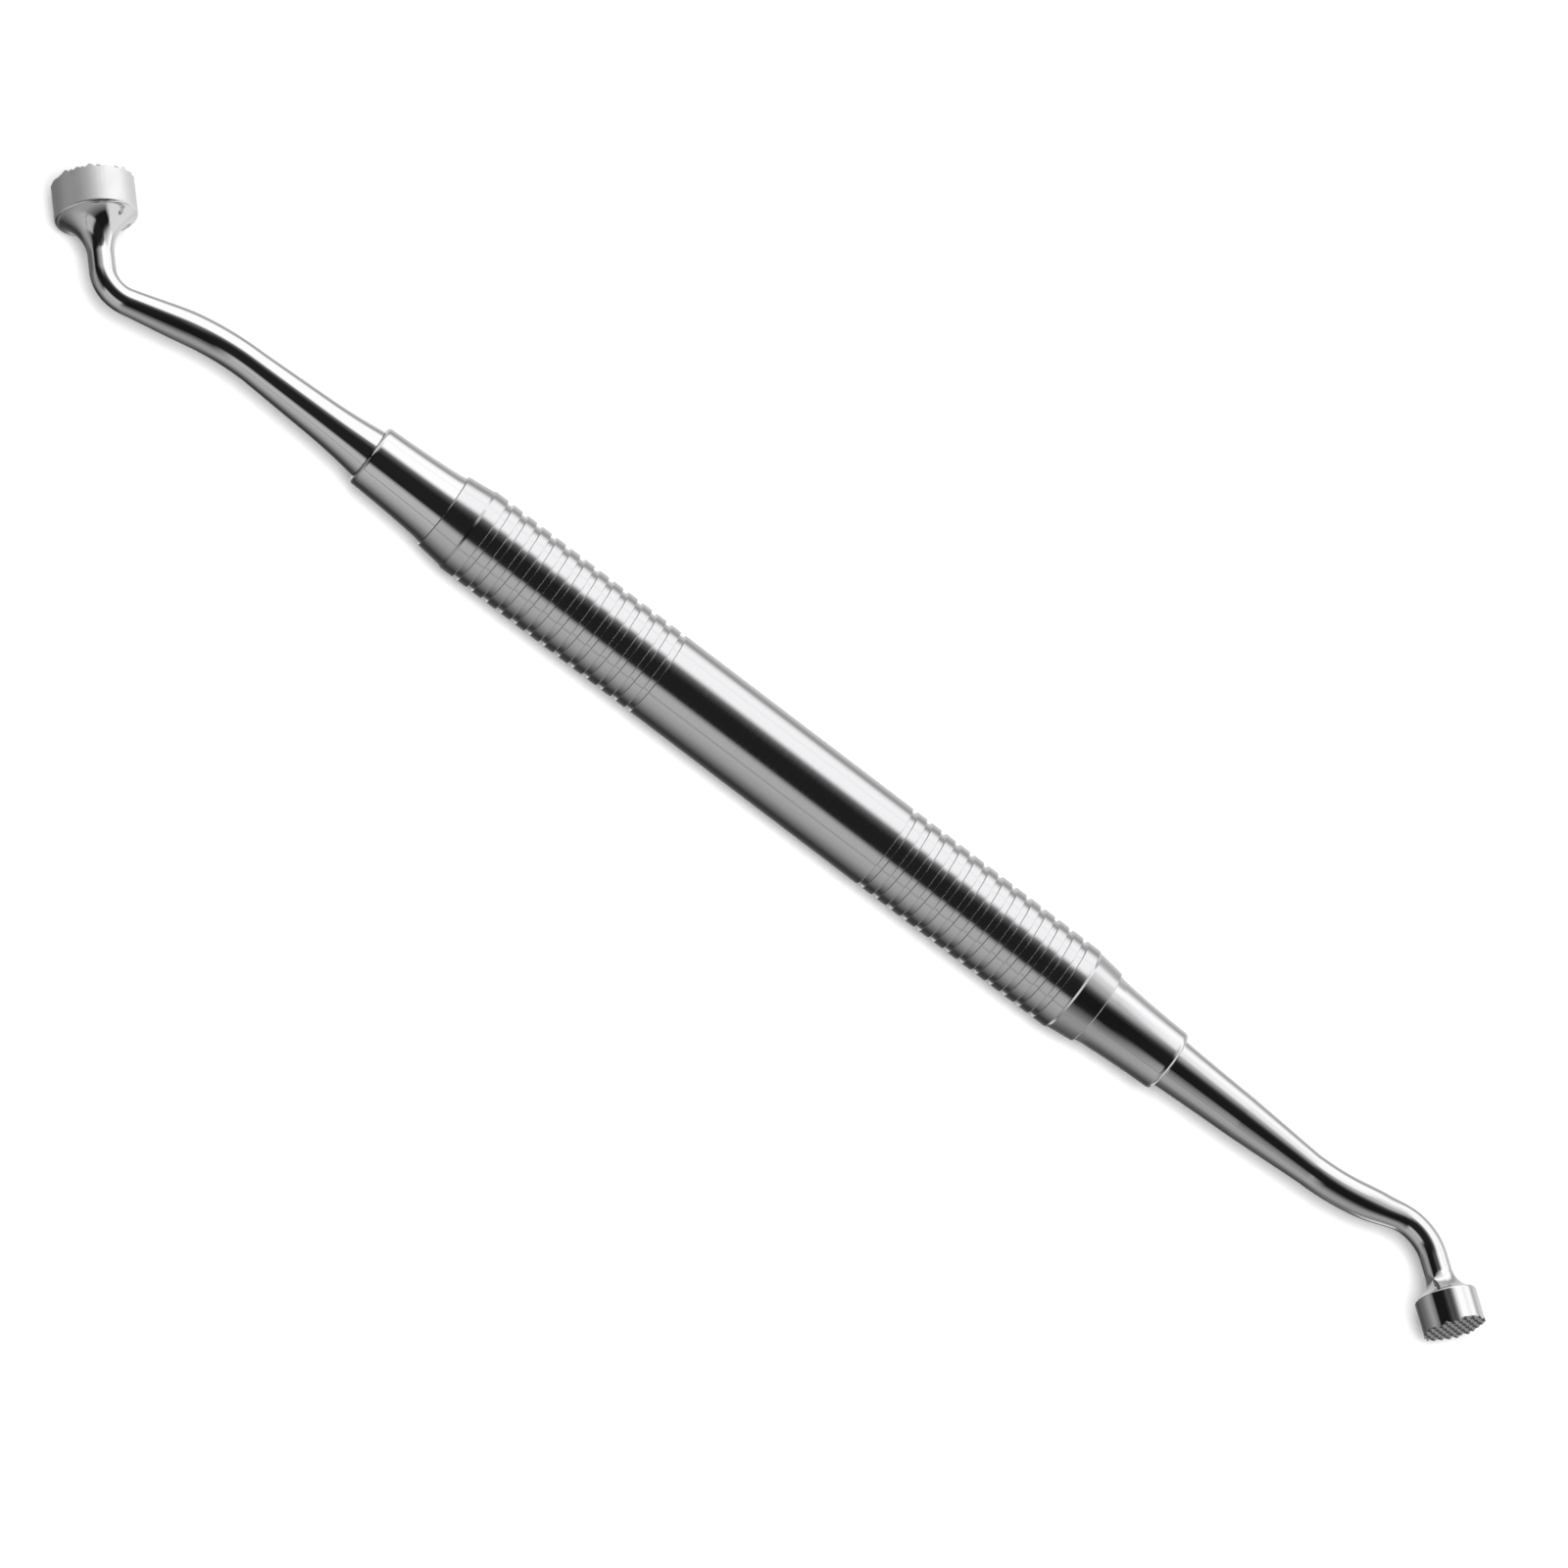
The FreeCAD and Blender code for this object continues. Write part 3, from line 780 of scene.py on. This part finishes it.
# The photo's view: how far the grip's right end turns away from the camera, how far the camera
# leans to the front from straight above, the grip's direction in the picture, and the picture's
# middle, in millimetres along the grip and down from its middle
YAW, LEAN = math.radians(6.9), math.radians(30)
SLOPE = Vector((0.79629, 0.60491))
AIM_ALONG, AIM_DOWN = 2.412, 1.11
SENSOR = 36
CLIP_START, CLIP_END = 0.01, 20


def make_camera(stage):
    """The photo's camera: ahead looks at a place beside the grip's middle, and the axes of
    the picture are turned so that the grip runs down to the right."""
    sin_yaw, cos_yaw = math.sin(YAW), math.cos(YAW)
    sin_lean, cos_lean = math.sin(LEAN), math.cos(LEAN)
    along = Vector((cos_yaw, -sin_yaw * sin_lean, sin_yaw * cos_lean))
    down = Vector((0, -cos_lean, -sin_lean))
    ahead = Vector((sin_yaw, cos_yaw * sin_lean, -cos_yaw * cos_lean))
    right = SLOPE.x * along - SLOPE.y * down
    below = SLOPE.y * along + SLOPE.x * down
    place = along * AIM_ALONG * MM + down * AIM_DOWN * MM - ahead * stage.distance
    camera = bpy.data.objects.new("camera", bpy.data.cameras.new("camera"))
    camera.data.lens = stage.lens
    camera.data.sensor_width = SENSOR
    camera.data.clip_start = CLIP_START
    camera.data.clip_end = CLIP_END
    turned_to = Matrix((right, -below, -ahead)).transposed()
    camera.matrix_world = Matrix.Translation(place) @ turned_to.to_4x4()
    bpy.context.scene.collection.objects.link(camera)
    bpy.context.scene.camera = camera


class PLUGGER_OT_stage(bpy.types.Operator):
    """Adds the floor, the light and the camera"""

    bl_idname = "plugger.stage"
    bl_label = "Stage"

    def execute(self, context):
        stage = context.scene.plugger_stage
        make_floor(stage.floor)
        light_tent(stage)
        make_softbox(stage)
        make_camera(stage)
        context.scene.view_settings.view_transform = "Standard"
        return {"FINISHED"}


OPERATORS = (
    PLUGGER_OT_grip,
    PLUGGER_OT_ferrules,
    PLUGGER_OT_large,
    PLUGGER_OT_small,
    PLUGGER_OT_stage,
)


class PLUGGER_PT_panel(bpy.types.Panel):
    """Lists the pieces of the bone plugger"""

    bl_idname = "PLUGGER_PT_panel"
    bl_label = "Bone plugger"
    bl_space_type = "VIEW_3D"
    bl_region_type = "UI"
    bl_category = "Bone plugger"

    def draw(self, context):
        for operator in OPERATORS:
            self.layout.operator(operator.bl_idname)


CLASSES = (*SETTINGS.values(), *OPERATORS, PLUGGER_PT_panel)


def register():
    for cls in CLASSES:
        bpy.utils.register_class(cls)
    for name, group in SETTINGS.items():
        setattr(bpy.types.Scene, name, PointerProperty(type=group))


def unregister():
    for name in SETTINGS:
        delattr(bpy.types.Scene, name)
    for cls in reversed(CLASSES):
        bpy.utils.unregister_class(cls)


def main():
    register()
    bpy.ops.plugger.grip()
    bpy.ops.plugger.ferrules()
    bpy.ops.plugger.large_end()
    bpy.ops.plugger.small_end()
    bpy.ops.plugger.stage()


if __name__ == "__main__":
    main()
